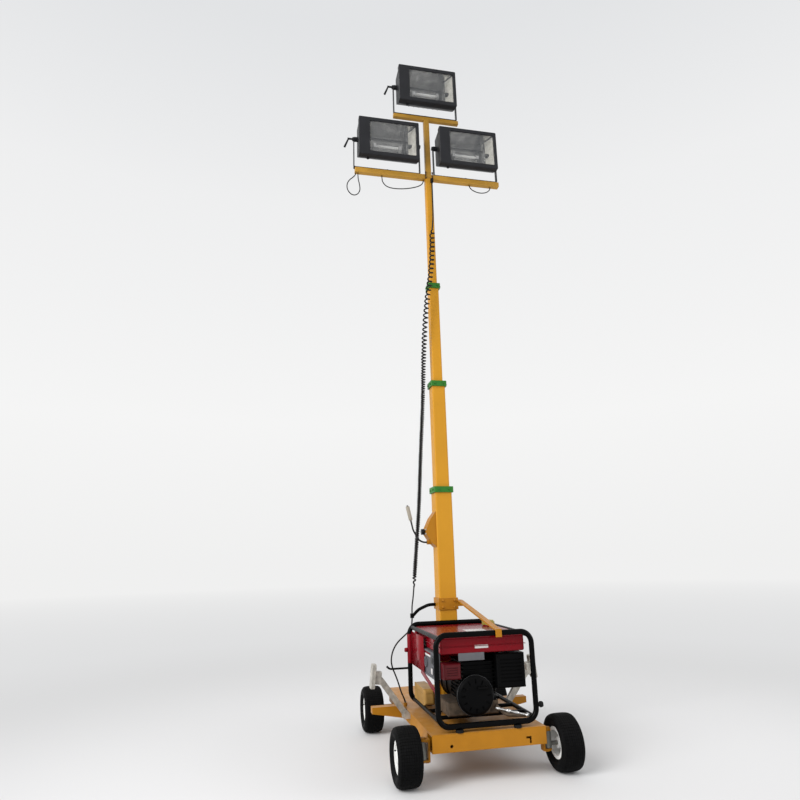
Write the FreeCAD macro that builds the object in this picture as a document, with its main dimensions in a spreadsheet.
import FreeCAD, Part
import math
import os
import Sketcher
from FreeCAD import Placement, Rotation, Vector

# Mobile emergency light: a four-wheeled yellow cart with a generator in front of a
# four-section square telescopic mast that carries three floodlights.
# Millimetres. +Z up, -Y towards the steered axle, +X to the right seen from that end.
# The origin is on the floor under the mast's axis.

# alias, value, meaning
SIZES = [
    ("wheelbase", 1250, "front axle to rear axle"),
    ("front_axle_gap", 776, "front axle to mast axis"),
    ("tyre_dia", 330, "tyre outside diameter"),
    ("tyre_wide", 140, "tyre width"),
    ("rim_dia", 178, "rim flange diameter"),
    ("rim_wide", 104, "rim width"),
    ("axle_dia", 25, "stub axle diameter"),
    ("running_gap", 0.1, "radial play of a turning fit"),
    ("seat_gap", 2, "axial play of a turning fit"),
    ("frame_wide", 690, "over the side rails"),
    ("rail_wide", 60, "side rail width"),
    ("rail_high", 96, "side rail and beam height"),
    ("plate", 6, "beam plate thickness"),
    ("deck_rise", 120, "axle height to deck surface"),
    ("deck_plate", 4, "deck plate thickness"),
    ("deck_lip", 20, "deck edge beyond the side rail"),
    ("beam_lead", 76, "front axle to front beam face"),
    ("beam_deep", 120, "front beam depth"),
    ("deck_tail", 126, "rear axle to deck rear edge"),
    ("king_out", 40, "deck edge to kingpin"),
    ("wheel_out", 105, "kingpin to tyre centre"),
    ("king_dia", 20, "kingpin diameter"),
    ("knuckle_dia", 44, "knuckle barrel diameter"),
    ("ear_drop", 37, "axle height down to lower fork ear"),
    ("ear_rise", 75, "axle height up to upper fork ear"),
    ("ear_thick", 12, "fork ear thickness"),
    ("arm_long", 100, "steering arm, kingpin to ball pin"),
    ("arm_wide", 22, "steering arm width"),
    ("tow_hole", 20, "hole in the front beam"),
    ("tow_hole_x", 245, "hole to centre plane"),
    ("tow_hole_up", 32, "beam base to hole"),
    ("side_arm_long", 245, "side rail to side arm tip"),
    ("mast_one", 136, "mast section 1 width"),
    ("mast_wall", 4.5, "mast wall"),
    ("slide_one", 8, "section 1 inside to section 2"),
    ("slide_two", 9, "section 2 inside to section 3"),
    ("slide_three", 4.5, "section 3 inside to section 4"),
    ("foot_plate", 10, "mast foot plate thickness"),
    ("ring_one_z", 1860, "top of collar 1"),
    ("stage_two", 885, "collar 1 to collar 2"),
    ("stage_three", 900, "collar 2 to collar 3"),
    ("stage_four", 1090, "collar 3 to lower crossbar centre"),
    ("ring_high", 46, "collar height"),
    ("ring_rim", 12, "collar wall outside the tube"),
    ("guide_gap", 0.3, "collar to sliding section"),
    ("bar_low_long", 1380, "lower crossbar length"),
    ("bar_low_side", 50, "lower crossbar section"),
    ("bar_rise", 645, "between the crossbar centres"),
    ("bar_high_long", 640, "upper crossbar length"),
    ("bar_high_side", 40, "upper crossbar section"),
    ("post_side", 50, "post between the crossbars"),
    ("lap_high", 360, "length of one section inside another when raised"),
    ("tube_round", 10, "corner radius of the mast tubes"),
    ("bar_round", 6, "corner radius of the crossbars and their post"),
    ("lamp_left_gap", 52, "post to left floodlight's yoke"),
    ("lamp_right_gap", 29, "post to right floodlight's yoke"),
    ("lamp_top_off", -4, "mast axis to top floodlight"),
    ("lamp_wide", 560, "floodlight front frame width"),
    ("lamp_high", 396, "floodlight front frame height"),
    ("lamp_deep", 250, "floodlight depth without its fins"),
    ("lamp_ahead", 140, "tilt axis to the front face"),
    ("lamp_drop", 244, "tilt axis down to the front frame's underside"),
    ("lamp_frame", 45, "front frame depth"),
    ("lamp_wall", 12, "floodlight housing wall"),
    ("lamp_bezel", 38, "black margin above and below the glass"),
    ("lamp_left_margin", 100, "black margin left of the glass"),
    ("lamp_right_margin", 26, "black margin right of the glass"),
    ("lamp_clear", 60, "crossbar top to the front frame's underside"),
    ("lamp_fin", 12, "height of the cooling fins"),
    ("pivot_dia", 28, "tilt pivot diameter"),
    ("glass_thick", 5, "front glass thickness"),
    ("yoke_bar", 40, "yoke flat bar width"),
    ("yoke_thick", 6, "yoke flat bar thickness"),
    ("yoke_gap", 26, "yoke to front frame"),
    ("gen_side", 27.5, "side rail face to generator loop centre"),
    ("gen_set_back", 16, "front beam face to front loop centre"),
    ("gen_mast_gap", 11, "rear loop to mast face"),
    ("gen_foot", 16, "generator foot height"),
    ("gen_high", 520, "between bottom and top tube centres"),
    ("gen_tube", 34, "generator frame tube diameter"),
    ("gen_bend", 70, "loop corner radius"),
    ("tank_side", 36.5, "generator loop centre to fuel tank side"),
    ("tank_drop", 12, "top tube centre down to tank top"),
    ("tank_high", 106, "fuel tank height"),
    ("tank_tail", 116, "depth of the tank's rear part below its base"),
    ("starter_dia", 236, "recoil starter diameter"),
    ("alternator_dia", 240, "alternator diameter"),
    ("brace_rise", 132, "generator top tube centre to brace collar centre"),
    ("winch_z", 1510, "winch centre above floor"),
    ("crank_drop", 80, "winch centre down to crank axis"),
    ("crank_dia", 13, "crank rod diameter"),
    ("leg_out", 35, "side rail to stabiliser pivot"),
    ("leg_swing", 96, "degrees from lowered to stowed leg"),
    ("leg_pivot_y", 156, "stabiliser pivot ahead of the mast axis"),
    ("leg_up", 77, "rail base to stabiliser pivot"),
    ("curl_dia", 42, "curly cord outside diameter"),
    ("lead_dia", 11, "plain cord diameter"),
    ("lamp_lead", 9, "floodlight lead diameter"),
]

doc = FreeCAD.newDocument("MobileEmergencyLight")
sheet = doc.addObject("Spreadsheet::Sheet", "Sizes")
for line, (alias, value, meaning) in enumerate(SIZES, start=1):
    sheet.set(f"A{line}", alias)
    sheet.set(f"B{line}", str(value))
    sheet.set(f"C{line}", meaning)
    sheet.setAlias(f"B{line}", alias)
doc.recompute()


class Dim:
    """A size held both as a number and as the sheet expression that gives it."""

    def __init__(self, value, text=None):
        self.value = float(value)
        self.text = text if text else repr(float(value))

    def __add__(self, other):
        other = dim(other)
        return Dim(self.value + other.value, f"({self.text} + {other.text})")

    def __sub__(self, other):
        other = dim(other)
        return Dim(self.value - other.value, f"({self.text} - {other.text})")

    def __mul__(self, other):
        other = dim(other)
        return Dim(self.value * other.value, f"({self.text} * {other.text})")

    def __truediv__(self, other):
        other = dim(other)
        return Dim(self.value / other.value, f"({self.text} / {other.text})")

    def __neg__(self):
        return Dim(-self.value, f"(-1 * {self.text})")

    __radd__ = __add__
    __rmul__ = __mul__

    def __rsub__(self, other):
        return dim(other) - self


def dim(number):
    return number if isinstance(number, Dim) else Dim(number)


class Named:
    """Every size of the sheet as an attribute."""


S = Named()
for alias, value, meaning in SIZES:
    setattr(S, alias, Dim(value, "Sizes." + alias))

# Places along Y
FRONT_Y = -S.front_axle_gap
REAR_Y = S.wheelbase - S.front_axle_gap
BEAM_Y = FRONT_Y - S.beam_lead
TAIL_Y = REAR_Y + S.deck_tail
GEN_FRONT = BEAM_Y + S.gen_set_back
GEN_REAR = -(S.mast_one / 2 + S.gen_mast_gap + S.gen_tube / 2)
# Half widths
DECK_X = S.frame_wide / 2 + S.deck_lip
KING_X = DECK_X + S.king_out
WHEEL_X = KING_X + S.wheel_out
LEG_X = S.frame_wide / 2 + S.leg_out
GEN_X = S.frame_wide / 2 - S.gen_side
TANK_X = GEN_X - S.tank_side
MAST_X = S.mast_one / 2
# Heights
WHEEL_Z = S.tyre_dia / 2
EAR_LOW = WHEEL_Z - S.ear_drop
EAR_HIGH = WHEEL_Z + S.ear_rise
DECK_TOP = WHEEL_Z + S.deck_rise
DECK_BASE = DECK_TOP - S.deck_plate
RAIL_BASE = DECK_BASE - S.rail_high
MAST_BASE = DECK_TOP + S.foot_plate
LEG_Z = RAIL_BASE + S.leg_up
GEN_LOW = DECK_TOP + S.gen_foot + S.gen_tube / 2
GEN_TOP = GEN_LOW + S.gen_high
TANK_TOP = GEN_TOP - S.tank_drop
TANK_BASE = TANK_TOP - S.tank_high
BRACE_Z = GEN_TOP + S.brace_rise
CRANK_Z = S.winch_z - S.crank_drop
RING_TWO_Z = S.ring_one_z + S.stage_two
RING_THREE_Z = RING_TWO_Z + S.stage_three
BAR_LOW_Z = RING_THREE_Z + S.stage_four
BAR_HIGH_Z = BAR_LOW_Z + S.bar_rise
LAMP_PIVOT = S.lamp_drop + S.lamp_clear
# Where the cord's tail enters the deck
GLAND_X = -352
GLAND_Y = -60
# Widths of the mast sections
MAST_TWO = S.mast_one - 2 * (S.mast_wall + S.slide_one)
MAST_THREE = MAST_TWO - 2 * (S.mast_wall + S.slide_two)
MAST_FOUR = MAST_THREE - 2 * (S.mast_wall + S.slide_three)

sub_parts = []


def bind(thing, prop, size):
    thing.setExpression(prop, dim(size).text)


def keep(thing, node):
    """Name a finished sub-part: its label is its file's name."""
    thing.Label = node
    sub_parts.append(thing)
    return thing


def place(thing, x, y, z):
    bind(thing, "Placement.Base.x", x)
    bind(thing, "Placement.Base.y", y)
    bind(thing, "Placement.Base.z", z)
    return thing


def box(name, size, centre):
    """A box of three sizes about a centre."""
    thing = doc.addObject("Part::Box", name)
    for prop, length in zip(("Length", "Width", "Height"), size):
        bind(thing, prop, length)
    place(thing, *(dim(middle) - dim(length) / 2 for middle, length in zip(centre, size)))
    return thing


TURNS = {
    "x": Rotation(Vector(0, 1, 0), 90),
    "y": Rotation(Vector(1, 0, 0), -90),
    "z": Rotation(),
}


def rod(name, axis, diameter, length, centre):
    """A cylinder along one axis, about a centre."""
    thing = doc.addObject("Part::Cylinder", name)
    bind(thing, "Radius", dim(diameter) / 2)
    bind(thing, "Height", length)
    thing.Placement = Placement(Vector(), TURNS[axis])
    base = [dim(middle) for middle in centre]
    index = "xyz".index(axis)
    base[index] = base[index] - dim(length) / 2
    return place(thing, *base)


def fuse(name, things):
    thing = doc.addObject("Part::MultiFuse", name)
    thing.Shapes = things
    thing.Refine = True
    return thing


def cut(name, base, tool):
    thing = doc.addObject("Part::Cut", name)
    thing.Base = base
    thing.Tool = tool
    thing.Refine = True
    return thing


def sketch_on(body, role, points):
    """A closed outline whose corners are tied to the origin by the sheet's sizes."""
    sketch = body.newObject("Sketcher::SketchObject", body.Name + "Outline")
    plane = [item for item in body.Origin.OriginFeatures if item.Role == role][0]
    sketch.AttachmentSupport = (plane, [""])
    sketch.MapMode = "FlatFace"
    corners = [(dim(across), dim(up)) for across, up in points]
    spots = [Vector(across.value, up.value, 0) for across, up in corners]
    for index, spot in enumerate(spots):
        sketch.addGeometry(Part.LineSegment(spot, spots[(index + 1) % len(spots)]), False)
    for index, (across, up) in enumerate(corners):
        following = (index + 1) % len(corners)
        sketch.addConstraint(Sketcher.Constraint("Coincident", index, 2, following, 1))
        for kind, size in (("DistanceX", across), ("DistanceY", up)):
            tie = sketch.addConstraint(Sketcher.Constraint(kind, -1, 1, index, 1, size.value))
            sketch.setExpression(f"Constraints[{tie}]", size.text)
    return sketch


def padded(name, role, points, depth, rounding=None, keep_edge=None):
    """A body padded to both sides of a plane, its chosen edges rounded."""
    body = doc.addObject("PartDesign::Body", name)
    outline = sketch_on(body, role, points)
    pad = body.newObject("PartDesign::Pad", name + "Pad")
    pad.Profile = outline
    pad.SideType = "Symmetric"
    bind(pad, "Length", depth)
    if rounding:
        doc.recompute()
        chosen = [f"Edge{number}" for number, edge in enumerate(pad.Shape.Edges, start=1)
                  if keep_edge is None or keep_edge(edge)]
        fillet = body.newObject("PartDesign::Fillet", name + "Fillet")
        fillet.Base = (pad, chosen)
        bind(fillet, "Radius", rounding)
    return body


def runs_along(axis):
    """A test for the straight edges along one axis."""
    return lambda edge: abs(getattr(edge.tangentAt(edge.FirstParameter), axis)) > 0.99


def column(name, wide, high, middle, rounding):
    """An upright square column on the mast's axis, its long edges rounded."""
    half = dim(wide) / 2
    body = padded(name, "XY_Plane", [(-half, -half), (half, -half), (half, half), (-half, half)],
                  high, rounding, runs_along("z"))
    return place(body, 0, 0, middle)


def turned(name, points, turn):
    """A body revolved about its X axis from an outline of (along, radius) corners."""
    body = doc.addObject("PartDesign::Body", name)
    outline = sketch_on(body, "XY_Plane", points)
    spin = body.newObject("PartDesign::Revolution", name + "Turn")
    spin.Profile = outline
    axis = [item for item in body.Origin.OriginFeatures if item.Role == "X_Axis"][0]
    spin.ReferenceAxis = (axis, [""])
    spin.Angle = turn
    return body


def route(points, radii=None):
    """A path of straight runs joined by tangent arcs."""
    spots = [Vector(*point) for point in points]
    edges = []
    start = spots[0]
    made = []
    for index in range(1, len(spots) - 1):
        before = (spots[index - 1] - spots[index])
        after = (spots[index + 1] - spots[index])
        turn = math.pi - before.getAngle(after)
        if radii:
            radius = radii
        else:
            radius = 0.45 * min(before.Length, after.Length) / math.tan(turn / 2)
        back = radius * math.tan(turn / 2)
        before.normalize()
        after.normalize()
        enter = spots[index] + before * back
        leave = spots[index] + after * back
        middle = (before + after).normalize()
        centre = spots[index] + middle * (radius / math.cos(turn / 2))
        top = centre - middle * radius
        edges.append(Part.LineSegment(start, enter).toShape())
        edges.append(Part.Arc(enter, top, leave).toShape())
        made.append(radius)
        start = leave
    edges.append(Part.LineSegment(start, spots[-1]).toShape())
    return Part.Wire(edges), made


def tube_shape(points, diameter, radii=None):
    """A round tube along a path, and the radii of its arcs."""
    path, made = route(points, radii)
    first = path.Edges[0]
    along = first.tangentAt(first.FirstParameter)
    ring = Part.Wire(Part.Circle(Vector(*points[0]), along, diameter / 2).toShape())
    shape = path.makePipeShell([ring], True, False)
    return shape, made, path.Length


def solid(name, shape):
    """A sub-part whose shape comes from Part's own functions."""
    thing = doc.addObject("Part::Feature", name)
    thing.Shape = shape
    return thing


# Chassis

def chassis():
    """Welded frame: side rails, front beam with fork ears, mast beam with side arms."""
    rail_x = (S.frame_wide - S.rail_wide) / 2
    rail_front = BEAM_Y + S.beam_deep
    rail_long = TAIL_Y - rail_front
    pieces = []
    for side in (-1, 1):
        pieces.append(box(f"Rail{side + 1}", (S.rail_wide, rail_long, S.rail_high),
                          (rail_x * side, rail_front + rail_long / 2, RAIL_BASE + S.rail_high / 2)))
        pieces.append(box(f"ForkWeb{side + 1}", (S.ear_thick, 44, EAR_HIGH + S.ear_thick - EAR_LOW),
                          ((DECK_X + S.ear_thick / 2) * side, FRONT_Y,
                           (EAR_HIGH + S.ear_thick + EAR_LOW) / 2)))
        for level, base in (("Low", EAR_LOW), ("High", EAR_HIGH)):
            ear = box(f"Ear{level}{side + 1}", (S.king_out, 44, S.ear_thick),
                      ((DECK_X + S.king_out / 2) * side, FRONT_Y, base + S.ear_thick / 2))
            nose = rod(f"EarNose{level}{side + 1}", "z", 44, S.ear_thick,
                       (KING_X * side, FRONT_Y, base + S.ear_thick / 2))
            pieces += [ear, nose]
        arm_root = S.frame_wide / 2 - 5
        arm_tip = S.frame_wide / 2 + S.side_arm_long
        arm = padded(f"SideArm{side + 1}", "XZ_Plane",
                     [(arm_root * side, RAIL_BASE + 10), (arm_tip * side, DECK_BASE - 42),
                      (arm_tip * side, DECK_BASE), (arm_root * side, DECK_BASE)], 64)
        pieces.append(arm)
    inner = S.frame_wide - S.rail_wide
    pieces.append(box("MastBeam", (inner, 120, S.rail_high), (0, 0, RAIL_BASE + S.rail_high / 2)))
    pieces.append(box("RearBeam", (inner, 60, S.rail_high),
                      (0, TAIL_Y - 30, RAIL_BASE + S.rail_high / 2)))
    beam_wide = 2 * DECK_X
    face_y = BEAM_Y + S.plate / 2
    web = box("BeamWeb", (beam_wide, S.plate, S.rail_high), (0, face_y, RAIL_BASE + S.rail_high / 2))
    middle_y = BEAM_Y + S.beam_deep / 2
    top = box("BeamTop", (beam_wide, S.beam_deep, S.plate), (0, middle_y, DECK_BASE - S.plate / 2))
    low = box("BeamLow", (beam_wide, S.beam_deep, S.plate), (0, middle_y, RAIL_BASE + S.plate / 2))
    back = box("BeamBack", (beam_wide, S.plate, S.rail_high),
               (0, BEAM_Y + S.beam_deep - S.plate / 2, RAIL_BASE + S.rail_high / 2))
    pieces += [web, top, low, back]
    # Kingpins pressed into the ears
    pin_low = EAR_LOW - 6
    pin_top = EAR_HIGH + S.ear_thick
    for side in (-1, 1):
        pieces.append(rod(f"KingHead{side + 1}", "z", 34, 8, (KING_X * side, FRONT_Y, pin_top + 4)))
        pieces.append(rod(f"KingShank{side + 1}", "z", S.king_dia, pin_top - pin_low,
                          (KING_X * side, FRONT_Y, (pin_top + pin_low) / 2)))
    # Rigid rear axle under the rails, with its stub ends
    beam_high = (RAIL_BASE - WHEEL_Z) * 2
    pieces.append(box("AxleBeam", (2 * (WHEEL_X - 80), 50, beam_high), (0, REAR_Y, WHEEL_Z)))
    pieces.append(rod("AxleStub", "x", S.axle_dia, 2 * WHEEL_X + 100, (0, REAR_Y, WHEEL_Z)))
    frame = fuse("ChassisWelded", pieces)
    hole = rod("TowHole", "y", S.tow_hole, 20, (-S.tow_hole_x, face_y, RAIL_BASE + S.tow_hole_up))
    # Hook-shaped slot in the beam's face
    slot_z = RAIL_BASE + 44
    slot_across = box("SlotAcross", (34, 20, 12), (S.tow_hole_x + 4, face_y, slot_z))
    slot_down = box("SlotDown", (12, 20, 40), (S.tow_hole_x + 15, face_y, slot_z - 14))
    keep(cut("ChassisFrame", frame, fuse("BeamHoles", [hole, slot_across, slot_down])), "chassis_frame")
    sheet_plate = box("DeckSheet", (beam_wide, TAIL_Y - BEAM_Y, S.deck_plate),
                      (0, (TAIL_Y + BEAM_Y) / 2, DECK_BASE + S.deck_plate / 2))
    # Cable gland through which the tail enters the deck
    gland = rod("DeckGland", "z", 28, 22, (GLAND_X, GLAND_Y, DECK_TOP + 11))
    gland_bore = rod("DeckGlandBore", "z", S.lead_dia + 1, 22, (GLAND_X, GLAND_Y, DECK_TOP + 11))
    keep(fuse("Deck", [sheet_plate, cut("DeckGlandRing", gland, gland_bore)]), "deck_plate")


def steering():
    """Knuckles on kingpins, with steering arms and the tie rod behind the beam."""
    barrel_low = EAR_LOW + S.ear_thick + S.seat_gap
    barrel_high = EAR_HIGH - S.seat_gap
    arm_y = FRONT_Y + S.arm_long
    arm_top = barrel_low + 10
    for side, word in ((-1, "left"), (1, "right")):
        x = KING_X * side
        barrel = rod("Barrel" + word, "z", S.knuckle_dia, barrel_high - barrel_low,
                     (x, FRONT_Y, (barrel_high + barrel_low) / 2))
        hub = rod("Stub" + word, "x", S.axle_dia, S.wheel_out + 50,
                  ((KING_X + WHEEL_X + 50) * side / 2, FRONT_Y, WHEEL_Z))
        arm = box("Arm" + word, (S.arm_wide, S.arm_long, 10),
                  (x, FRONT_Y + S.arm_long / 2, barrel_low + 5))
        eye = rod("ArmEye" + word, "z", 30, 10, (x, arm_y, barrel_low + 5))
        pin = rod("BallPin" + word, "z", 10, 34, (x, arm_y, barrel_low + 17))
        whole = fuse("KnuckleSolid" + word, [barrel, hub, arm, eye, pin])
        hole = rod("BarrelHole" + word, "z", S.king_dia + S.running_gap * 2, 200, (x, FRONT_Y, EAR_LOW + 62))
        keep(cut("Knuckle" + word, whole, hole), "knuckle_" + word)
    link_z = arm_top + 10
    bar = rod("TieBar", "x", 13, KING_X * 2, (0, arm_y, link_z))
    ends = [rod(f"TieEye{side + 1}", "z", 28, 19, (KING_X * side, arm_y, link_z)) for side in (-1, 1)]
    holes = [rod(f"TieHole{side + 1}", "z", 10 + 4 * S.running_gap, 60, (KING_X * side, arm_y, link_z))
             for side in (-1, 1)]
    keep(cut("TieRod", fuse("TieSolid", [bar] + ends), fuse("TieHoles", holes)), "tie_rod")


RIM_HOLES = 6


def wheels():
    """Pneumatic tyres on dished pressed rims with a central hub tube."""
    half = S.tyre_wide / 2
    bead = S.rim_dia / 2 - 8
    crown = S.tyre_dia / 2
    rim_half = S.rim_wide / 2
    tyre_outline = [
        (-rim_half + 3, bead), (rim_half - 3, bead), (rim_half - 3, bead + 12), (half - 3, bead + 30),
        (half, bead + 48), (half - 8, crown - 14), (half - 26, crown - 3), (half - 50, crown),
        (-half + 50, crown), (-half + 26, crown - 3), (-half + 8, crown - 14), (-half, bead + 48),
        (-half + 3, bead + 30), (-rim_half + 3, bead + 12),
    ]
    bore = S.axle_dia / 2 + S.running_gap
    flange = S.rim_dia / 2
    hole_ring = (32 + bead) / 2
    # Band, dish and hub in one section, the dished side outwards
    rim_outline = [
        (-42, bore), (48, bore), (48, 32), (16, 32), (10, bead - 8), (rim_half + 3, bead - 8),
        (rim_half + 3, flange + 4), (rim_half - 3, flange + 4), (rim_half - 3, bead - 0.3),
        (-rim_half + 3, bead - 0.3), (-rim_half + 3, flange + 4), (-rim_half - 3, flange + 4),
        (-rim_half - 3, bead - 8), (2, bead - 8), (8, 32), (-42, 32),
    ]
    for word, side, y in (("front_left", -1, FRONT_Y), ("front_right", 1, FRONT_Y),
                          ("rear_left", -1, REAR_Y), ("rear_right", 1, REAR_Y)):
        bodies = {}
        for kind, outline in (("Tyre", tyre_outline), ("Rim", rim_outline)):
            body = turned(kind + word.title().replace("_", ""), outline, 360)
            if side < 0:
                body.Placement = Placement(Vector(), Rotation(Vector(0, 0, 1), 180))
            bodies[kind] = place(body, WHEEL_X * side, y, WHEEL_Z)
        keep(bodies["Tyre"], f"tyre_{word}")
        holes = []
        for number in range(RIM_HOLES):
            turn = 2 * math.pi * number / RIM_HOLES
            holes.append(rod(f"RimHole{word}{number}", "x", 20, 60,
                             ((WHEEL_X + 12) * side, y + hole_ring * math.cos(turn),
                              WHEEL_Z + hole_ring * math.sin(turn))))
        rim = cut("RimPierced" + word, bodies["Rim"], fuse("RimHoles" + word, holes))
        keep(rim, f"rim_{word}")


def mast():
    """Square tubes that slide in one another, each but the last with a guide collar."""
    sections = (
        # word, width, base, top, next width
        ("one", S.mast_one, MAST_BASE, S.ring_one_z - S.ring_high, MAST_TWO),
        ("two", MAST_TWO, S.ring_one_z - S.lap_high, RING_TWO_Z - S.ring_high, MAST_THREE),
        ("three", MAST_THREE, RING_TWO_Z - S.lap_high, RING_THREE_Z - S.ring_high, MAST_FOUR),
        ("four", MAST_FOUR, RING_THREE_Z - S.lap_high, BAR_LOW_Z - S.bar_low_side / 2, None),
    )
    for number, (word, wide, base, top, following) in enumerate(sections, start=1):
        middle = (base + top) / 2
        outside = column("Tube" + word, wide, top - base, middle, S.tube_round)
        inside = column("Hollow" + word, wide - 2 * S.mast_wall, top - base + 2, middle,
                        S.tube_round - S.mast_wall)
        keep(cut("Section" + word, outside, inside), f"mast_section_{number}")
        if following is None:
            continue
        collar_middle = top + S.ring_high / 2
        collar = column("Collar" + word, wide + 2 * S.ring_rim, S.ring_high, collar_middle, S.tube_round)
        gap = following + 2 * S.guide_gap
        window = box("CollarHole" + word, (gap, gap, S.ring_high + 2), (0, 0, collar_middle))
        keep(cut("Ring" + word, collar, window), f"mast_collar_{number}")
    # Foot plate with three gussets
    foot = box("FootPlate", (300, 240, S.foot_plate), (0, 44, DECK_TOP + S.foot_plate / 2))
    gussets = []
    for side in (-1, 1):
        gussets.append(padded(f"Gusset{side + 1}", "XZ_Plane",
                              [(MAST_X * side, MAST_BASE), ((MAST_X + 70) * side, MAST_BASE),
                               ((MAST_X + 70) * side, MAST_BASE + 12),
                               ((MAST_X + 12) * side, MAST_BASE + 130),
                               (MAST_X * side, MAST_BASE + 130)], 8))
    keep(fuse("MastFoot", [foot] + gussets), "mast_foot")


def head():
    """Post and two crossbars on the top section."""
    pieces = []
    for word, long, side, z in (("Low", S.bar_low_long, S.bar_low_side, BAR_LOW_Z),
                                ("High", S.bar_high_long, S.bar_high_side, BAR_HIGH_Z)):
        half = side / 2
        bar = padded("Bar" + word, "YZ_Plane", [(-half, -half), (half, -half), (half, half), (-half, half)],
                     long, S.bar_round)
        pieces.append(place(bar, 0, 0, z))
    post_low = BAR_LOW_Z + S.bar_low_side / 2 - S.bar_round
    post_top = BAR_HIGH_Z - S.bar_high_side / 2 + S.bar_round
    pieces.append(column("Post", S.post_side, post_top - post_low, (post_low + post_top) / 2, S.bar_round))
    keep(fuse("LampHead", pieces), "lamp_head")


YOKE_X = S.lamp_wide / 2 + S.yoke_gap + S.yoke_thick
# word, mast axis to lamp, crossbar top, whether the pivot has a hand lever
LAMPS = (
    ("left", -(S.post_side / 2 + S.lamp_left_gap + YOKE_X), BAR_LOW_Z + S.bar_low_side / 2, True),
    ("right", S.post_side / 2 + S.lamp_right_gap + YOKE_X, BAR_LOW_Z + S.bar_low_side / 2, False),
    ("top", S.lamp_top_off, BAR_HIGH_Z + S.bar_high_side / 2, True),
)
# The cast housing's outline from the side, (along Y, up) from the tilt axis: its front and top are straight,
# its underside and its top corner are arcs through three points
BOWL_SIDE = ((-120, -230), (-60, -226), (48, -146), (110, -12), (110, 78), (100, 106), (72, 120), (-120, 140))
# and from above, (half width, along Y): straight to the second point, then an arc to the last
BOWL_PLAN = ((274, -120), (274, 16), (258, 76), (206, 110))
# The front frame's width, depth and height that both outlines are drawn for, and how far back and up the
# bowl's back and top begin, which move in with the wall
BOWL_DRAWN = (560, 250, 396)
BOWL_EDGE = 100
FIN_PLACES = (-144, -96, -48, 0, 48, 96, 144)


def rounded_ring(left, right, low, high, y, corner):
    """A rectangle with rounded corners, square to the Y axis."""
    corners = (
        ((right - corner, low + corner), (0, -1), (1, 0)),
        ((right - corner, high - corner), (1, 0), (0, 1)),
        ((left + corner, high - corner), (0, 1), (-1, 0)),
        ((left + corner, low + corner), (-1, 0), (0, -1)),
    )
    arcs = []
    for (x, z), enter, leave in corners:
        centre = Vector(x, y, z)
        first = Vector(enter[0], 0, enter[1]) * corner
        last = Vector(leave[0], 0, leave[1]) * corner
        middle = (first + last).normalize() * corner
        arcs.append((centre + first, centre + middle, centre + last))
    edges = []
    for index, (first, middle, last) in enumerate(arcs):
        edges.append(Part.Arc(first, middle, last).toShape())
        edges.append(Part.LineSegment(last, arcs[(index + 1) % len(arcs)][0]).toShape())
    return Part.Wire(edges)


def slab(left, right, low, high, front, back, corner):
    """A plate with rounded corners, square to the Y axis."""
    face = Part.Face(rounded_ring(left, right, low, high, front, corner))
    return face.extrude(Vector(0, back - front, 0))


def bowl(inset):
    """The housing's bowl, drawn in by a distance all round and at the back."""
    drawn_wide, drawn_deep, drawn_high = BOWL_DRAWN
    wider = S.lamp_wide.value / drawn_wide
    deeper = S.lamp_deep.value / drawn_deep
    higher = S.lamp_high.value / drawn_high
    side = []
    for y, z in BOWL_SIDE:
        y = y * deeper
        z = z * higher
        if z < 0:
            z = z + inset
        if z > BOWL_EDGE:
            z = z - inset
        if y > BOWL_EDGE:
            y = y - inset
        side.append(Vector(0, y, z))
    plan = []
    for x, y in BOWL_PLAN:
        x = x * wider - inset
        y = y * deeper
        if y > BOWL_EDGE:
            y = y - inset
        plan.append((x, y))
    edges = [
        Part.LineSegment(side[0], side[1]).toShape(),
        Part.Arc(side[1], side[2], side[3]).toShape(),
        Part.LineSegment(side[3], side[4]).toShape(),
        Part.Arc(side[4], side[5], side[6]).toShape(),
        Part.LineSegment(side[6], side[7]).toShape(),
        Part.LineSegment(side[7], side[0]).toShape(),
    ]
    across = plan[0][0]
    shape = Part.Face(Part.Wire(edges)).extrude(Vector(2 * across, 0, 0))
    shape.translate(Vector(-across, 0, 0))
    right = [Vector(x, y, -500) for x, y in plan]
    left = [Vector(-x, y, -500) for x, y in plan]
    edges = [
        Part.LineSegment(left[0], right[0]).toShape(),
        Part.LineSegment(right[0], right[1]).toShape(),
        Part.Arc(right[1], right[2], right[3]).toShape(),
        Part.LineSegment(right[3], left[3]).toShape(),
        Part.Arc(left[3], left[2], left[1]).toShape(),
        Part.LineSegment(left[1], left[0]).toShape(),
    ]
    return shape.common(Part.Face(Part.Wire(edges)).extrude(Vector(0, 0, 1000)))


def block(low, high):
    """A box between two corners."""
    size = Vector(*high) - Vector(*low)
    return Part.makeBox(size.x, size.y, size.z, Vector(*low))


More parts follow.
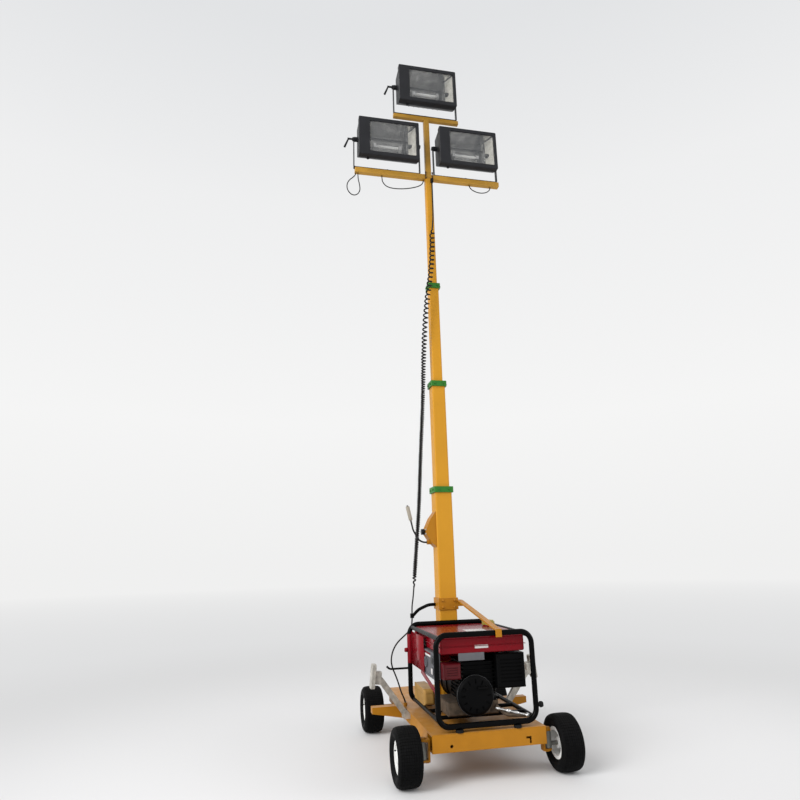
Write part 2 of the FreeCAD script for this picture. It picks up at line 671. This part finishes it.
def lamp_housing():
    """Front frame with its window, finned cast bowl and the pivot bosses."""
    across = S.lamp_wide.value / 2
    face = -S.lamp_ahead.value
    low = -S.lamp_drop.value
    high = low + S.lamp_high.value
    wall = S.lamp_wall.value
    bezel = S.lamp_bezel.value
    frame_back = face + S.lamp_frame.value
    lip = face + 8
    front = slab(-across, across, low, high, face, frame_back, 10)
    outline = [edge for edge in front.Edges if edge.BoundBox.YMax < face + 0.1]
    front = front.makeChamfer(4, outline)
    fins = [block((x - 3, 60, low), (x + 3, 200, high)) for x in FIN_PLACES]
    ribs = bowl(-S.lamp_fin.value).common(Part.makeCompound(fins))
    shell = front.fuse([bowl(0), ribs])
    window_left = S.lamp_left_margin.value - across
    window_right = across - S.lamp_right_margin.value
    window = slab(window_left, window_right, low + bezel, high - bezel, face - 1, lip + 1, 16)
    room = slab(wall - across, across - wall, low + wall, high - wall, lip, frame_back - 6, 8)
    shell = shell.cut([window, room, bowl(wall)])
    sides = BOWL_PLAN[1][0] * across / (BOWL_DRAWN[0] / 2)
    boss_out = across + S.yoke_gap.value - 2
    pin_out = across + S.yoke_gap.value + S.yoke_thick.value
    pieces = []
    for side in (-1, 1):
        way = Vector(side, 0, 0)
        boss_foot = Vector((sides - wall / 2) * side, 0, 0)
        pin_foot = Vector(sides * side, 0, 0)
        pieces.append(Part.makeCylinder(22, boss_out - sides + wall / 2, boss_foot, way))
        pieces.append(Part.makeCylinder(S.pivot_dia.value / 2, pin_out - sides, pin_foot, way))
    # Cable gland under the bowl's left side
    pieces.append(Part.makeCylinder(13, 26, Vector(-190, -70, low + 2)))
    return shell.fuse(pieces).removeSplitter()


def lamp_reflector():
    """Bright tray inside the housing, with the lamp tube in its two holders."""
    wall = S.lamp_wall.value
    tray = bowl(wall + 2).cut(bowl(wall + 6))
    tube_y = -30
    tube_z = -70
    tube = Part.makeCylinder(12, 250, Vector(-125, tube_y, tube_z), Vector(1, 0, 0))
    fittings = [tube]
    for side in (-1, 1):
        holder = block((118 * side - 13, tube_y - 16, tube_z - 20), (118 * side + 13, 200, tube_z + 20))
        fittings.append(holder.common(bowl(wall + 4)))
    return tray.fuse(fittings).removeSplitter()


def lamp_yoke(lever):
    """Bent flat bar on an upright bolt, with the clamp at its left pivot."""
    arm_in = S.lamp_wide.value / 2 + S.yoke_gap.value
    arm_out = YOKE_X.value
    bar = S.yoke_bar.value / 2
    base = -LAMP_PIVOT.value
    thick = S.yoke_thick.value
    strap = block((-arm_out, -bar, base), (arm_out, bar, 0))
    strap = strap.cut(block((-arm_in, -bar, base + thick), (arm_in, bar, 0)))
    bends = [edge for edge in strap.Edges if runs_along("y")(edge) and edge.BoundBox.ZMax < base + thick + 1]
    outer_bends = [edge for edge in bends if edge.BoundBox.ZMax < base + 1]
    strap = strap.makeFillet(thick + 6, outer_bends)
    inner_bends = [edge for edge in strap.Edges
                   if runs_along("y")(edge) and abs(edge.BoundBox.ZMax - base - thick) < 0.1
                   and abs(abs(edge.BoundBox.XMax) - arm_in) < 0.1]
    strap = strap.makeFillet(6, inner_bends)
    pieces = []
    for side in (-1, 1):
        pieces.append(Part.makeCylinder(bar, thick, Vector(arm_in * side, 0, 0), Vector(side, 0, 0)))
    yoke = strap.fuse(pieces)
    yoke = yoke.cut(Part.makeCylinder(S.pivot_dia.value / 2 + S.running_gap.value / 2, 3 * arm_out,
                                      Vector(-1.5 * arm_out, 0, 0), Vector(1, 0, 0)))
    pieces = [Part.makeCylinder(13, 8, Vector(0, 0, base + thick))]
    pieces += [Part.makeCylinder(18, 10, Vector(arm_out * side, 0, 0), Vector(side, 0, 0)) for side in (-1, 1)]
    if lever:
        neck = Vector(-arm_out - 46, 0, 0)
        grip = Vector(-36, 0, -92)
        pieces.append(Part.makeCylinder(9, 54, Vector(-arm_out, 0, 0), Vector(-1, 0, 0)))
        pieces.append(Part.makeCone(7, 10, grip.Length, neck, grip))
    return yoke.fuse(pieces).removeSplitter()


def lamps():
    """Three floodlights, each about its tilt axis above its crossbar."""
    across = S.lamp_wide.value / 2
    face = -S.lamp_ahead.value
    low = -S.lamp_drop.value
    high = low + S.lamp_high.value
    lap = S.lamp_bezel.value - 12
    glass = slab(S.lamp_left_margin.value - across - 12, across - S.lamp_right_margin.value + 12, low + lap,
                 high - lap, face + 8, face + 8 + S.glass_thick.value, 16)
    for word, x, bar_top, lever in LAMPS:
        shapes = (("housing", lamp_housing()), ("glass", glass), ("reflector", lamp_reflector()),
                  ("yoke", lamp_yoke(lever)))
        for kind, shape in shapes:
            thing = solid(kind.title() + word.title(), shape)
            place(thing, x, 0, bar_top + LAMP_PIVOT)
            keep(thing, f"lamp_{word}_{kind}")


CAP_NOTCHES = 10
STARTER_VENTS = 12
ALTERNATOR_VENTS = 10


def spaced(first, last, count):
    """Evenly spaced values from first to last."""
    return [first + (last - first) * number / (count - 1) for number in range(count)]


def rounded_block(low, high, corner):
    """A box between two corners, its edges along Z and X rounded."""
    shape = block(low, high)
    edges = [edge for edge in shape.Edges if runs_along("z")(edge) or runs_along("x")(edge)]
    return shape.makeFillet(corner, edges)


def generator():
    """Tube frame with the engine, tank, panel and alternator inside it."""
    half = GEN_X.value
    bend = S.gen_bend.value
    low = GEN_LOW.value
    top = GEN_TOP.value
    tube = S.gen_tube.value
    front = GEN_FRONT.value
    rear = GEN_REAR.value
    rail_radius = tube / 2 - 3
    cross_radius = tube / 2 - 5
    inset = bend * (1 - math.cos(math.pi / 4))
    frame = []
    for y in (front, rear):
        corners = [(0, y, low), (-half, y, low), (-half, y, top), (half, y, top), (half, y, low), (0, y, low)]
        frame.append(tube_shape(corners, tube, bend)[0])
    for side in (-1, 1):
        for z in (low + inset, top - inset):
            frame.append(Part.makeCylinder(rail_radius, rear - front,
                                           Vector(side * (half - inset), front, z), Vector(0, 1, 0)))
    for y in (front + 146, front + 336, rear - 164):
        frame.append(Part.makeCylinder(cross_radius, 2 * (half - inset),
                                       Vector(inset - half, y, low + inset), Vector(1, 0, 0)))
    hook_z = low + 223
    hook_x = -half - 152
    frame.append(tube_shape([(-half, rear, hook_z), (hook_x, rear, hook_z),
                             (hook_x - 22, rear, hook_z + 19)], 14)[0])
    keep(solid("GeneratorFrame", frame[0].fuse(frame[1:]).removeSplitter()), "generator_frame")
    feet = []
    for side in (-1, 1):
        for index, y in enumerate((GEN_FRONT, GEN_REAR)):
            feet.append(rod(f"GenFoot{side + 1}{index}", "z", 48, S.gen_foot,
                            ((GEN_X - 130) * side, y, DECK_TOP + S.gen_foot / 2)))
    keep(fuse("GenFeet", feet), "generator_feet")
    cross_top = low + inset + cross_radius
    rail_top = low + inset + rail_radius
    rail_low = top - inset - rail_radius
    tank_low = TANK_BASE.value
    nose = GEN_FRONT + 30
    tail = GEN_REAR - 26
    seam = box("TankSeam", (2 * TANK_X + 16, tail - nose + 10, 3), (0, (tail + nose) / 2, TANK_BASE + 44))
    neck = rod("TankNeck", "z", 84, 8, (GEN_X - 91.5, GEN_REAR - 203, TANK_TOP + 3))
    tank = padded("TankShell", "YZ_Plane",
                  [(nose, TANK_BASE), (nose, TANK_TOP - 14), (nose + 26, TANK_TOP), (tail - 8, TANK_TOP),
                   (tail, TANK_TOP - 14), (tail, TANK_BASE - S.tank_tail),
                   (tail - 196, TANK_BASE - S.tank_tail), (tail - 223, TANK_BASE)], 2 * TANK_X, 12)
    lugs = [tank, seam, neck]
    for side in (-1, 1):
        for end, y in (("Front", GEN_FRONT + 136), ("Rear", GEN_REAR - 124)):
            lugs.append(box(f"TankLug{end}{side + 1}", (24, 40, 14),
                            ((TANK_X + 8) * side, y, rail_low - 7)))
    keep(fuse("FuelTank", lugs), "fuel_tank")
    cap_y = GEN_REAR - 203
    cap_x = GEN_X - 91.5
    cap_base = TANK_TOP + 7
    skirt = rod("CapSkirt", "z", 92, 20, (cap_x, cap_y, cap_base + 10))
    crown = rod("CapCrown", "z", 78, 10, (cap_x, cap_y, cap_base + 25))
    notches = []
    for number in range(CAP_NOTCHES):
        turn = 2 * math.pi * number / CAP_NOTCHES
        notches.append(rod(f"CapNotch{number}", "z", 12, 60,
                           (cap_x + 48 * math.cos(turn), cap_y + 48 * math.sin(turn), cap_base + 10)))
    keep(cut("FuelCap", fuse("CapSolid", [skirt, crown]), fuse("CapNotches", notches)), "fuel_cap")
    engine_front = front + 91
    engine_rear = front + 361
    sump_top = cross_top + 79.5
    side_in = 17.5 - half
    engine_low = sump_top
    engine_top = tank_low - 60
    # Cylinder block with its cooling fins
    barrel = block((-118, engine_front + 10, engine_low), (80, engine_rear - 10, engine_top))
    fins = [block((-130, engine_front, z), (90, engine_rear, z + 5))
            for z in spaced(engine_low + 36, engine_top - 5, 9)]
    foot = block((-130, engine_front, engine_low), (90, engine_rear, engine_low + 20))
    keep(solid("Engine", barrel.fuse(fins + [foot]).removeSplitter()), "engine")
    # Moulded cover beside the starter, its corners rounded, with cooling slots in its face
    cover_front = front + 36
    cover = rounded_block((side_in + 38, cover_front, sump_top + 140),
                          (-148, cover_front + 120, tank_low - 56), 16)
    slots = [block((side_in + 60, cover_front - 1, z), (-170, cover_front + 5, z + 6))
             for z in spaced(sump_top + 164, tank_low - 84, 4)]
    keep(solid("EngineCover", cover.cut(slots)), "engine_cover")
    # Silencer in its louvred heat guard
    guard_low = sump_top + 70
    guard_right = half - 33.5
    guard_front = front + 46
    guard = rounded_block((90, guard_front, guard_low), (guard_right, front + 346, tank_low - 14), 14)
    louvres = []
    for z in spaced(guard_low + 36, tank_low - 56, 7):
        louvres.append(block((116, guard_front - 1, z), (guard_right - 26, guard_front + 5, z + 8)))
        louvres.append(block((guard_right - 5, guard_front + 40, z), (guard_right + 1, front + 306, z + 8)))
    keep(solid("Silencer", guard.cut(louvres)), "silencer")
    # Control panel: plate with a raised rim, two round sockets, a breaker and a meter
    panel_low = tank_low - 158
    panel_front = front + 101
    panel_rear = front + 474
    panel = rounded_block((side_in, panel_front, panel_low), (side_in + 38, panel_rear, tank_low), 8)
    recess = block((side_in - 1, panel_front + 12, panel_low + 12),
                   (side_in + 3, panel_rear - 12, tank_low - 12))
    panel = panel.cut(recess)
    breaker = block((side_in - 4, panel_front + 30, panel_low + 84),
                    (side_in + 6, panel_front + 92, tank_low - 24))
    meter = block((side_in - 6, panel_front + 40, panel_low + 24),
                  (side_in + 6, panel_front + 82, panel_low + 66))
    fittings = [breaker, meter]
    for y in (panel_rear - 62, panel_rear - 148):
        socket = Part.makeCylinder(32, 10, Vector(side_in + 4, y, panel_low + 80), Vector(-1, 0, 0))
        socket_mouth = Part.makeCylinder(24, 5, Vector(side_in - 1, y, panel_low + 80), Vector(-1, 0, 0))
        fittings.append(socket.cut(socket_mouth))
    keep(solid("ControlPanel", panel.fuse(fittings).removeSplitter()), "control_panel")
    case = rounded_block((side_in, rear - 324, rail_top), (side_in + 76, rear - 34, rail_top + 102), 18)
    lid_line = block((side_in - 1, rear - 325, rail_top + 70), (side_in + 77, rear - 33, rail_top + 73))
    lid_line = lid_line.cut(block((side_in + 2, rear - 322, rail_top),
                                  (side_in + 74, rear - 36, rail_top + 110)))
    keep(solid("BatteryBox", case.cut(lid_line)), "battery_box")
    sump = rounded_block((side_in + 75, engine_front, cross_top), (105, engine_rear, sump_top), 10)
    pipe = tube_shape([(88, engine_front + 5, sump_top - 38), (88, engine_front - 40, sump_top - 38),
                       (130, engine_front - 55, cross_top + 1.5), (262, engine_front - 55, cross_top - 8.5)], 22)
    keep(solid("Crankcase", sump.fuse(pipe[0])), "crankcase")
    # Recoil starter: a domed cup with slots, and its grip on the rope
    starter_x = -55
    starter_z = cross_top + 118.5
    rim = S.starter_dia.value / 2
    profile = [(0, 0), (rim, 0), (rim, -32), (rim - 14, -42), (rim - 50, -48), (0, -48), (0, 0)]
    outline = Part.makePolygon([Vector(radius, engine_front + y, 0) for radius, y in profile])
    cup = Part.Face(outline).revolve(Vector(), Vector(0, 1, 0), 360)
    vents = []
    for number in range(STARTER_VENTS):
        vent = block((-5, engine_front - 60, rim - 46), (5, engine_front - 38, rim - 20))
        vent.rotate(Vector(), Vector(0, 1, 0), 360 * number / STARTER_VENTS)
        vents.append(vent)
    cup = cup.cut(vents)
    rope = Part.makeCylinder(5, 16, Vector(44, engine_front - 46, 44), Vector(0, -1, 0))
    grip = Part.makeCylinder(8, 70, Vector(9, engine_front - 56, 44), Vector(1, 0, 0))
    starter = cup.fuse([rope, grip])
    starter.translate(Vector(starter_x, 0, starter_z))
    keep(solid("RecoilStarter", starter), "recoil_starter")
    # Alternator: ribbed barrel with a vented end cover
    alternator_rear = rear - 99
    alternator_z = cross_top + S.alternator_dia.value / 2
    radius = S.alternator_dia.value / 2
    barrel = Part.makeCylinder(radius - 6, alternator_rear - engine_rear, Vector(-5, engine_rear, alternator_z),
                               Vector(0, 1, 0))
    bands = [Part.makeCylinder(radius, 24, Vector(-5, y, alternator_z), Vector(0, 1, 0))
             for y in (engine_rear, (engine_rear + alternator_rear) / 2 - 12, alternator_rear - 24)]
    cap = Part.makeCylinder(radius - 18, 16, Vector(-5, alternator_rear, alternator_z), Vector(0, 1, 0))
    openings = []
    for number in range(ALTERNATOR_VENTS):
        vent = block((-7, alternator_rear + 6, 40), (7, alternator_rear + 20, radius - 30))
        vent.rotate(Vector(), Vector(0, 1, 0), 360 * number / ALTERNATOR_VENTS)
        vent.translate(Vector(-5, 0, alternator_z))
        openings.append(vent)
    keep(solid("Alternator", barrel.fuse(bands + [cap]).removeSplitter().cut(openings)), "alternator")


KNOB_LOBES = 6


def brace_and_winch():
    """Mast brace over the generator, cord arm, winch and its crank."""
    wide = S.mast_one
    collar = box("BraceCollar", (wide + 16, wide + 16, 84), (0, 0, BRACE_Z))
    hollow = box("BraceHollow", (wide, wide, 90), (0, 0, BRACE_Z))
    grip = cut("BraceRing", collar, hollow)
    loop_top = GEN_TOP + S.gen_tube / 2
    loop_inside = GEN_FRONT + S.gen_tube / 2
    loop_outside = GEN_FRONT - S.gen_tube / 2 - 1
    strap_thick = 8
    root_y = 8 - MAST_X
    strap_x = MAST_X + 24
    strap = padded("BraceStrap", "YZ_Plane",
                   [(root_y, BRACE_Z + 10), (root_y, BRACE_Z + 22), (root_y - 30, BRACE_Z + 22),
                    (loop_inside - 6, loop_top + 10), (loop_outside - strap_thick, loop_top + 8),
                    (loop_outside - strap_thick, GEN_TOP - 24), (loop_outside, GEN_TOP - 24),
                    (loop_outside, loop_top), (loop_inside, loop_top), (root_y - 32, BRACE_Z + 10)], 40)
    place(strap, strap_x, 0, 0)
    lug = box("BraceLug", (40, 60, 44), (strap_x, 22 - MAST_X, BRACE_Z + 2))
    keep(fuse("MastBrace", [grip, strap, lug]), "mast_brace")
    side_x = -MAST_X.value
    arm_z = BRACE_Z.value - 8
    eye_x = side_x - 175
    eye_y = 120
    eye_base = arm_z - 100
    arm = tube_shape([(side_x - 8, 30, arm_z), (side_x - 62, 30, arm_z), (eye_x + 43, eye_y - 35, arm_z - 37),
                      (eye_x + 7, eye_y - 4, arm_z - 82)], 24)[0]
    eye = Part.makeCylinder(15, 34, Vector(eye_x, eye_y, eye_base))
    bore = Part.makeCylinder(S.lead_dia.value / 2 + 0.6, 60, Vector(eye_x, eye_y, eye_base - 12))
    keep(solid("CordArm", arm.fuse(eye).cut(bore)), "cord_arm")
    winch = padded("WinchShell", "XZ_Plane",
                   [(-MAST_X, S.winch_z - 120), (-MAST_X - 37, S.winch_z - 86), (-MAST_X - 80, S.winch_z - 20),
                    (-MAST_X - 80, S.winch_z + 20), (-MAST_X - 42, S.winch_z + 102),
                    (-MAST_X, S.winch_z + 155)], 110)
    boss = rod("WinchBoss", "x", 34, 45, (-MAST_X - 44, 0, CRANK_Z))
    bore = rod("WinchBore", "x", S.crank_dia + S.running_gap, 40, (-MAST_X - 47, 0, CRANK_Z))
    keep(cut("Winch", fuse("WinchBody", [winch, boss]), bore), "winch_housing")
    knob_x = -MAST_X - 95
    lobes = [rod("KnobHub", "x", 34, 30, (knob_x, 0, S.winch_z))]
    for number in range(KNOB_LOBES):
        turn = 2 * math.pi * number / KNOB_LOBES
        lobes.append(rod(f"KnobLobe{number}", "x", 14, 22, (knob_x - 4, 17 * math.cos(turn),
                                                             S.winch_z + 17 * math.sin(turn))))
    keep(fuse("WinchKnob", lobes), "winch_knob")
    axis_z = CRANK_Z.value
    crank = tube_shape([(side_x - 28, 0, axis_z), (side_x - 122, 0, axis_z), (side_x - 176, 0, axis_z + 96),
                        (side_x - 184, 0, axis_z + 135), (side_x - 218, 0, axis_z + 287)],
                       S.crank_dia.value)[0]
    grip_low = Vector(side_x - 192, 0, axis_z + 171)
    grip_high = Vector(side_x - 216, 0, axis_z + 278)
    grip = Part.makeCylinder(S.crank_dia.value, (grip_high - grip_low).Length, grip_low, grip_high - grip_low)
    keep(solid("Crank", crank.fuse(grip)), "winch_crank")


LEG_SPREAD = 3.7


def rounded_foot(left, right, front, back, low, high, corner):
    """A block whose upright edges are rounded."""
    shape = block((left, front, low), (right, back, high))
    return shape.makeFillet(corner, [edge for edge in shape.Edges if runs_along("z")(edge)])


def stabilisers():
    """Folding side legs with cast feet, stowed upwards.

    Each leg is drawn lowered, with its foot on the floor, and then swung up.
    """
    y = -S.leg_pivot_y.value
    pivot_x = LEG_X.value
    pivot_z = LEG_Z.value
    lug_x = S.frame_wide.value / 2
    bar_end_x = pivot_x + 205
    bar_end_z = 70
    pin_radius = 6
    brackets = []
    for side, word in ((-1, "left"), (1, "right")):
        lug = Part.makeBox(pivot_x - lug_x + 13, 66, 52, Vector(lug_x, y - 33, pivot_z - 34))
        slot = Part.makeBox(60, 42, 70, Vector(lug_x + 8, y - 21, pivot_z - 40))
        pin = Part.makeCylinder(pin_radius, 66, Vector(pivot_x, y - 33, pivot_z), Vector(0, 1, 0))
        lug = lug.cut(slot).fuse(pin).removeSplitter()
        slope = math.degrees(math.atan2(pivot_z - bar_end_z, bar_end_x - pivot_x))
        bar_long = math.hypot(bar_end_x - pivot_x, pivot_z - bar_end_z)
        # Two flat bars that spread from the pivot towards the foot, with a spacer between them
        leg = Part.makeCylinder(20, 24, Vector(0, -12, 0), Vector(0, 1, 0))
        for hand in (-1, 1):
            bar = Part.makeBox(bar_long, 8, 40, Vector(0, -4, -20))
            bar.rotate(Vector(), Vector(0, 0, 1), hand * LEG_SPREAD)
            bar.translate(Vector(0, 8 * hand, 0))
            leg = leg.fuse(bar)
        spacer = Part.makeCylinder(9, 40, Vector(bar_long * 0.55, -20, 0), Vector(0, 1, 0))
        leg = leg.fuse(spacer)
        leg.rotate(Vector(), Vector(0, 1, 0), slope)
        leg.translate(Vector(pivot_x, y, pivot_z))
        # Cast foot: a shallow dish with a ribbed hub
        foot = rounded_foot(bar_end_x - 60, bar_end_x + 100, y - 45, y + 45, 2, 28, 22)
        dish = rounded_foot(bar_end_x - 52, bar_end_x + 92, y - 37, y + 37, 12, 40, 14)
        hub = rounded_foot(bar_end_x - 30, bar_end_x + 54, y - 30, y + 30, 2, 72, 10)
        ribs = [Part.makeBox(150, 8, 24, Vector(bar_end_x - 55, y - 4, 2)),
                Part.makeBox(8, 84, 24, Vector(bar_end_x + 8, y - 42, 2))]
        leg = leg.fuse([foot.cut(dish), hub] + ribs)
        leg = leg.cut(Part.makeCylinder(pin_radius + S.running_gap.value / 2, 40,
                                        Vector(pivot_x, y - 20, pivot_z), Vector(0, 1, 0)))
        leg = leg.removeSplitter()
        leg.rotate(Vector(pivot_x, y, pivot_z), Vector(0, 1, 0), -S.leg_swing.value)
        if side < 0:
            lug = lug.mirror(Vector(), Vector(1, 0, 0))
            leg = leg.mirror(Vector(), Vector(1, 0, 0))
        brackets.append(lug)
        keep(solid("Leg" + word, leg), f"stabiliser_leg_{word}")
    keep(solid("LegLugs", Part.makeCompound(brackets)), "stabiliser_brackets")


def cords():
    """The curly cord down the mast, its clip, and the plain tail over the hook."""
    face = -MAST_FOUR.value / 2
    clip_top = (BAR_LOW_Z - S.bar_low_side / 2).value - 10
    clip_low = clip_top - 36
    cord_x = 21
    cord_y = face - 12
    clip = block((cord_x - 12, face - 24, clip_low), (cord_x + 12, face, clip_top))
    keep(solid("CordClip", clip), "cord_clip")
    curly = [(0, -60, 4172), (-6, -61, 4010), (-30, -86, 3750), (-98, -104, 3387), (-112, -24, 3000),
             (-118, 28, 2600), (-142, 78, 2150), (-162, 112, 1700), (-196, 124, 1350), (-222, 122, 1090)]
    straight = [(cord_x, cord_y, clip_low), (cord_x, cord_y, 4520), (cord_x - 2, cord_y - 2, 4370),
                (cord_x - 8, cord_y - 7, 4250), (4, -60, 4150)]
    tail = [(-222, 122, 1090), (-230, 121.4, 1010.4), (-243, 120, 950), (-243, 120, 836), (-262, 100, 780),
            (-330, 30, 745), (-400, -42, 710), (-444, -86, 660), (-462, -109, 600), (-452, -112, 548),
            (-430, -110, 500), (-408, -100, 445), (-388, -84, 385), (-362, -66, 335), (-352, -60, 310),
            (GLAND_X, GLAND_Y, DECK_TOP.value)]
    bar_base = BAR_LOW_Z.value - S.bar_low_side.value / 2
    bar_end = -S.bar_low_long.value / 2
    # Slack loops of the floodlights' leads under the crossbar
    end_loop = [(bar_end + 8, -4, bar_base), (bar_end + 8, -4, bar_base - 20), (bar_end - 14, -6, bar_base - 52),
                (bar_end - 50, -10, bar_base - 86), (bar_end - 76, -14, bar_base - 140),
                (bar_end - 68, -16, bar_base - 204), (bar_end - 28, -16, bar_base - 246),
                (bar_end + 18, -16, bar_base - 238), (bar_end + 46, -14, bar_base - 190),
                (bar_end + 42, -12, bar_base - 128), (bar_end + 30, -10, bar_base - 76),
                (bar_end + 28, -4, bar_base - 24), (bar_end + 28, -4, bar_base)]
    left_loop = [(-440, 0, bar_base), (-440, 0, bar_base - 24), (-436, -10, bar_base - 80),
                 (-390, -18, bar_base - 132), (-282, -22, bar_base - 138), (-166, -22, bar_base - 114),
                 (-84, -12, bar_base - 74), (-48, 0, bar_base - 26), (-48, 0, bar_base)]
    right_loop = [(398, 0, bar_base), (398, 0, bar_base - 26), (438, -8, bar_base - 68), (502, -10, bar_base - 84),
                  (566, -8, bar_base - 68), (606, 0, bar_base - 26), (606, 0, bar_base)]
    # word, diameter, points of the route
    routes = (
        ("curly", S.curl_dia.value, curly),
        ("straight", S.lead_dia.value, straight),
        ("tail", S.lead_dia.value, tail),
        ("end loop", S.lamp_lead.value, end_loop),
        ("left loop", S.lamp_lead.value, left_loop),
        ("right loop", S.lamp_lead.value, right_loop),
    )
    tubes = {}
    for word, diameter, points in routes:
        shape, made, length = tube_shape(points, diameter)
        share = shape.Volume / (math.pi * diameter ** 2 / 4 * length)
        radii = [round(radius) for radius in made]
        print(f"{word}: length {length:.0f}, volume share {share:.3f}, radii {radii}")
        tubes[word] = shape
    keep(solid("CurlyCord", tubes["curly"].fuse(tubes["straight"])), "curly_cord")
    keep(solid("CableTail", tubes["tail"]), "cable_tail")
    keep(solid("LeadEndLoop", tubes["end loop"]), "lead_left")
    keep(solid("LeadLeftLoop", tubes["left loop"]), "lead_left_loop")
    keep(solid("LeadRightLoop", tubes["right loop"]), "lead_right_loop")


chassis()
steering()
wheels()
mast()
head()
lamps()
generator()
brace_and_winch()
stabilisers()
cords()
doc.recompute()

for thing in doc.Objects:
    if "Invalid" in thing.State or "Error" in thing.State:
        raise RuntimeError(f"{thing.Label} failed: {thing.State}")
os.makedirs("parts", exist_ok=True)
for thing in sub_parts:
    shape = thing.Shape
    if shape.isNull() or not shape.isValid() or not shape.Solids:
        raise RuntimeError(f"{thing.Label} has no valid shape")
    shape.exportStep(os.path.join("parts", thing.Label + ".step"))
print(len(sub_parts), "sub-parts")
